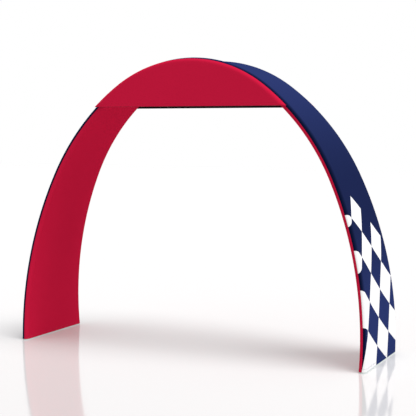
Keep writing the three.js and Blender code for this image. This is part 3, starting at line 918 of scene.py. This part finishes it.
@dataclass
class Header:
    """A half-moon pillowcase on its own bent rail in front of a hoop, with a bar in its bottom pocket."""

    line: HoopLine
    side: Side
    bottom: float = 2.006
    rail_forward: float = 0.0572
    rail_inset: float = 0.016
    radius: float = 0.030
    cloth: float = 0.0014
    gap: float = 0.0003
    along_steps: int = 132
    face_steps: int = 18
    rim_steps: int = 16
    under_steps: int = 7
    under_gap: float = 0.0008
    hem_fold: float = 0.0005  # below this the hem's edge turns in
    hem_turn: float = 0.0012
    hem_step: float = 0.0240  # where the hem starts to step down to the cloth
    hem_ease: float = 0.002
    hem_end: float = 0.027
    hem_room: float = 0.06  # where the face is lower than this the hem lies flatter
    hem_rows: tuple[float, ...] = (0.0, 0.0010, 0.0035, *HEM_LINES, 0.034)

    def rim_point(self, share: float, reach: float, forward: float) -> tuple[float, float]:
        """A point on a line beside the hoop that ends level with the header's bottom.

        Args:
            share: -1 at the left end to 1 at the right end.
            reach: how far the line lies outside the hoop line.
            forward: how far it lies out of the plane.

        Returns:
            x and rise.
        """
        end = self.line.length_to_height(self.bottom, reach, forward)
        arc, bend = self.line.station(abs(share) * end)
        x, rise = arc.at(bend, reach)
        return math.copysign(x, share), rise

    def hem_lift(self, up: float) -> float:
        """How far the hem stands proud. Args: metres above the bottom. Returns: metres."""
        if up < self.hem_fold:
            return -self.hem_turn
        if up > self.hem_end:
            return 0.0
        past = min(1.0, max(0.0, (up - self.hem_step) / self.hem_ease))
        return HEM_LIFT * (1 - past) - stitch_dip(up)

    def sew(self, name: str, thread: Thread) -> Piece:
        """Sews the face's bottom hem. Args: a name and the thread. Returns: the piece."""
        stitching = Stitching()
        forward = self.rail_forward + self.radius
        low = rise_at(self.bottom, forward)
        outwards = Vector((0.0, self.side.value * math.cos(LEAN), math.sin(LEAN)))
        for up in HEM_ROWS:
            clear_of_rim = self.bottom + 1.2 * up
            end = self.line.length_to_height(clear_of_rim, -self.rail_inset, forward)
            arc, bend = self.line.station(end)
            half = arc.at(bend, -self.rail_inset)[0]

            def spot(inset: float) -> tuple[Vector, Vector]:
                """Where a stitch lies. Args: metres from the left end. Returns: the point and outwards."""
                return lean(self.side, inset - half, forward + self.hem_lift(up), low + up), outwards

            stitching.row(spot, 2 * half)
        return stitching.finish(name, thread, "red_fabric")

    def build_face(self, name: str, finish: Knit, thread: Thread) -> Piece:
        """Builds the red face with its wrapped rim and hem.

        Args: the CAD node's name, the cloth and the hem's thread.
        Returns: the piece.
        """
        upper = spaced(0.0, 1.0, self.face_steps)[1:]
        hem = self.hem_rows
        angles = spaced(0.0, math.pi, self.rim_steps)[1:]
        count = len(hem) + len(upper) + len(angles)
        forward = self.rail_forward + self.radius
        low = rise_at(self.bottom, forward)

        def spot(i: int, j: int) -> Spot:
            """Where a vertex of the flat grid goes. Args: column and row. Returns: its spot."""
            share = 2 * i / self.along_steps - 1
            x, top = self.rim_point(share, -self.rail_inset, forward)
            tall = top - low
            if j < len(hem) + len(upper):
                base = min(hem[-1], tall / 2)
                if j < len(hem):
                    up = min(hem[j], tall * hem[j] / (hem[-1] * 2))
                else:
                    up = base + (tall - base) * upper[j - len(hem)]
                lift = self.hem_lift(up) * min(1.0, tall / self.hem_room)
                point = lean(self.side, x, forward + lift, low + up)
                return point, (x, up), (tall - up + self.radius * math.pi, up)
            angle = angles[j - len(hem) - len(upper)]
            reach = self.radius * math.sin(angle) - self.rail_inset
            out = self.rail_forward + self.radius * math.cos(angle)
            rim_x, rise = self.rim_point(share, reach, out)
            over = self.radius * angle
            from_edges = (self.radius * math.pi - over, tall + over + CLEAR)
            return lean(self.side, rim_x, out, rise), (x, tall + over), from_edges

        bm = lay_cloth(self.along_steps + 1, count, spot, self.side is Side.BACK)
        side = self.side.name.lower()
        piece, area = hang(name, bm, finish.dress("header_knit_" + side), "red_fabric", self.cloth)
        width = 2 * self.rim_point(1.0, self.radius - self.rail_inset, self.rail_forward)[0]
        crown = self.rim_point(0.0, -self.rail_inset, forward)[1] - low + self.radius * math.pi
        self.sew(name + "_stitches", thread)
        return piece

    def build_backer(self, name: str, finish: Knit) -> Piece:
        """Builds the black underside and reverse. Args: the CAD node's name, cloth. Returns: the piece."""
        front = self.rail_forward + self.radius - self.cloth - self.gap
        rear = self.rail_forward - self.radius
        under = spaced(front, rear + self.under_gap, self.under_steps)
        upper = spaced(0.0, 1.0, self.face_steps)
        pocket = self.radius - self.cloth - self.gap
        low = rise_at(self.bottom, rear)

        def spot(i: int, j: int) -> Spot:
            """Where a vertex of the flat grid goes. Args: column and row. Returns: its spot."""
            share = 2 * i / self.along_steps - 1
            if j < len(under):
                forward = under[j]
                out = max(-1.0, min(1.0, (forward - self.rail_forward) / pocket))
                reach = pocket * math.sqrt(1 - out * out) - self.rail_inset
                x = self.rim_point(1.0, reach, forward)[0]
                point = lean(self.side, share * x, forward, rise_at(self.bottom, forward))
                return point, (share * x, -forward), (CLEAR / 2, CLEAR / 2 + forward)
            up = upper[j - len(under)]
            x, top = self.rim_point(share, -self.rail_inset - self.gap, rear)
            rise = low + (top - low) * up
            return lean(self.side, x, rear, rise), (x, rise - low), ((top - low) * (1 - up), CLEAR)

        bm = lay_cloth(self.along_steps + 1, len(under) + len(upper), spot, self.side is Side.FRONT)
        side = self.side.name.lower()
        piece, area = hang(name, bm, finish.dress("reverse_knit_" + side), "black_fabric", self.cloth)
        width = 2 * self.rim_point(1.0, -self.rail_inset, rear)[0]
        tall = self.rim_point(0.0, -self.rail_inset, rear)[1] - low + 2 * self.radius
        return piece


# ---------------------------------------- feet and tubes


@dataclass
class FootPlate:
    """The flat plate that both hoops of one leg stand on, rounded at its ends and along its rims."""

    name: str
    x: float
    radius: float = 0.0285
    half_span: float = FOOT_DEPTH / 2
    thickness: float = 0.008
    rim: float = 0.0014
    turn_steps: int = 14

    def build(self, finish: PaintedPlate) -> Piece:
        """Builds and dresses the plate. Args: finish: its paint. Returns: the piece."""
        bm = bmesh.new()
        for side in (-1, 1):
            start = bm.verts.new((self.x + side * self.radius, side * self.half_span, 0.0))
            bmesh.ops.spin(
                bm,
                geom=[start],
                cent=(self.x, side * self.half_span, 0.0),
                axis=(0, 0, 1),
                angle=math.pi,
                steps=self.turn_steps,
            )
        bmesh.ops.contextual_create(bm, geom=bm.verts[:])
        pushed = bmesh.ops.extrude_face_region(bm, geom=bm.faces[:])
        rising = [item for item in pushed["geom"] if isinstance(item, bmesh.types.BMVert)]
        bmesh.ops.translate(bm, verts=rising, vec=(0.0, 0.0, self.thickness))
        bmesh.ops.recalc_face_normals(bm, faces=bm.faces[:])
        rims = [edge for edge in bm.edges if edge.calc_face_angle(0.0) > math.radians(60)]
        rounding = {"segments": 3, "profile": 0.5, "material": -1}
        bmesh.ops.bevel(bm, geom=rims, offset=self.rim, affect="EDGES", **rounding)
        smooth(bm)
        piece = finish_piece(self.name + "_coated", bm, finish.dress("plate_coat"), "grey_plate")
        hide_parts(self.name)
        return piece


@dataclass
class TubeFrame:
    """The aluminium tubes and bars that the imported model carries. They only get their finish here."""

    finish: Metal

    def dress(self) -> None:
        """Gives each kept tube drawn aluminium, with its fine lines along the tube."""
        upright = self.finish.dress("drawn_tube", (1.0, 1.0, 0.04))
        looks = {
            "arch_": upright,
            "header_rail_": upright,
            "spreader_": self.finish.dress("drawn_spreader", (1.0, 0.04, 1.0)),
            "header_bar_": self.finish.dress("drawn_bar", (0.04, 1.0, 1.0)),
        }
        for name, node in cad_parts.items():
            for look in (look for start, look in looks.items() if name.startswith(start)):
                node.data.materials.clear()
                node.data.materials.append(look)
                LOG.info("%s: %s", name, look.name)


# ---------------------------------------- studio


@dataclass
class Studio:
    """A plain white floor and backdrop, a soft high lamp, and the camera."""

    floor_half: float = 40.0
    floor_colour: float = 0.615
    gloss: float = 0.29
    # The gloss's warm tint is painted reflection: it stands in for the red cloth's light on the floor.
    gloss_colour: Colour = (1.0, 0.955, 0.962)
    gloss_roughness: float = 0.09
    shade_run: tuple[float, float] = (-3.4, 0.2)  # painted shade: the near floor is darker, up to this far back
    shade_depth: float = 0.09
    ambient: float = 0.75
    lamp_level: float = 1.0
    lamp_from: tuple[float, float, float] = (0.41, -0.06, 0.91)
    lamp_spread: float = math.radians(38)
    eye: tuple[float, float, float] = (3.76329, -8.08825, 1.80046)
    yaw: float = 0.43179
    pitch: float = 0.07098
    roll: float = 0.00268
    lens: float = 92.497
    sensor: float = 36.0

    def lights(self) -> None:
        """Adds the world and the lamp."""
        world = bpy.data.worlds.new("studio")
        bpy.context.scene.world = world
        world.use_nodes = True
        graph = Graph(world.node_tree)
        seen = graph.add("ShaderNodeLightPath", {}, {}, "Is Camera Ray")
        path = seen.socket.node
        for ray in ("Is Glossy Ray", "Is Transmission Ray"):
            seen = seen.call("MAXIMUM", Wire(graph, path.outputs[ray]))
        level = self.ambient + seen * (1.0 - self.ambient)
        shader = graph.add("ShaderNodeBackground", {}, {"Color": (1.0, 1.0, 1.0), "Strength": level})
        graph.surface(shader, "ShaderNodeOutputWorld")
        lamp = bpy.data.lights.new("high_lamp", "SUN")
        lamp.energy = math.pi * self.lamp_level
        lamp.angle = self.lamp_spread
        put("high_lamp", lamp).rotation_euler = Vector(self.lamp_from).to_track_quat("Z", "Y").to_euler()

    def floor(self) -> None:
        """Adds the glossy white floor, with painted shade on its near part."""
        bm = bmesh.new()
        bmesh.ops.create_grid(bm, x_segments=1, y_segments=1, size=self.floor_half)
        material, graph = new_material("white_floor")
        _, depth, _ = graph.split(graph.place())
        near = 1 - depth.ramp(*self.shade_run)
        level = self.floor_colour * (1 - near * self.shade_depth)
        shade = graph.add("ShaderNodeCombineColor", {}, {0: level, 1: level, 2: level})
        matt = graph.add("ShaderNodeBsdfDiffuse", {}, {"Color": shade})
        shine = {"Color": self.gloss_colour, "Roughness": self.gloss_roughness}
        gloss = graph.add("ShaderNodeBsdfGlossy", {}, shine)
        graph.surface(graph.add("ShaderNodeMixShader", {}, {0: self.gloss, 1: matt, 2: gloss}))
        put_mesh("floor", bm, material)

    def camera(self) -> None:
        """Adds the camera at the place that the perspective fit gives."""
        ahead = Vector(
            (
                -math.sin(self.yaw) * math.cos(self.pitch),
                math.cos(self.yaw) * math.cos(self.pitch),
                -math.sin(self.pitch),
            )
        )
        level = Vector((math.cos(self.yaw), math.sin(self.yaw), 0.0))
        upright = level.cross(ahead)
        right = math.cos(self.roll) * level + math.sin(self.roll) * upright
        up = -math.sin(self.roll) * level + math.cos(self.roll) * upright
        data = bpy.data.cameras.new("camera")
        data.lens = self.lens
        data.sensor_width = self.sensor
        data.clip_end = 200.0
        camera = put("camera", data)
        turn = Matrix((right, up, -ahead)).transposed().to_4x4()
        camera.matrix_world = Matrix.Translation(self.eye) @ turn
        bpy.context.scene.camera = camera
        bpy.context.scene.view_settings.view_transform = "Standard"

    def build(self) -> None:
        """Sets the whole studio up."""
        self.lights()
        self.floor()
        self.camera()


def main() -> None:
    """Builds the stand, piece by piece, and the studio round it."""
    logging.basicConfig(level=logging.INFO, format="%(name)s %(message)s")
    Studio().build()
    line = HoopLine()
    red = Knit(colour=(0.470, 0.0085, 0.0390))
    black = Knit(colour=(0.012, 0.008, 0.009), sheen=0.02, sheen_tint=(1.0, 0.9, 0.9), specular=0.02)
    sleeve = Sleeve(line)
    navy_thread = Thread((0.022, 0.034, 0.115))
    red_thread = Thread((0.50, 0.012, 0.046))
    printed = ChequeredKnit(length=2 * line.half_length)
    sleeve.build(Layer.OUTER, "outer_band", printed, navy_thread, "printed_navy")
    sleeve.build(Layer.INNER, "inner_band", red, red_thread, "red_fabric")
    for side in Side:
        header = Header(line, side)
        header.build_face("header_face_" + side.name.lower(), red, red_thread)
        header.build_backer("header_backer_" + side.name.lower(), black)
    for name, sign in (("foot_plate_left", -1), ("foot_plate_right", 1)):
        arc = line.arcs[-1]
        FootPlate(name, sign * arc.at(arc.end)[0]).build(PaintedPlate())
    TubeFrame(Metal()).dress()


if __name__ == "__main__":
    main()
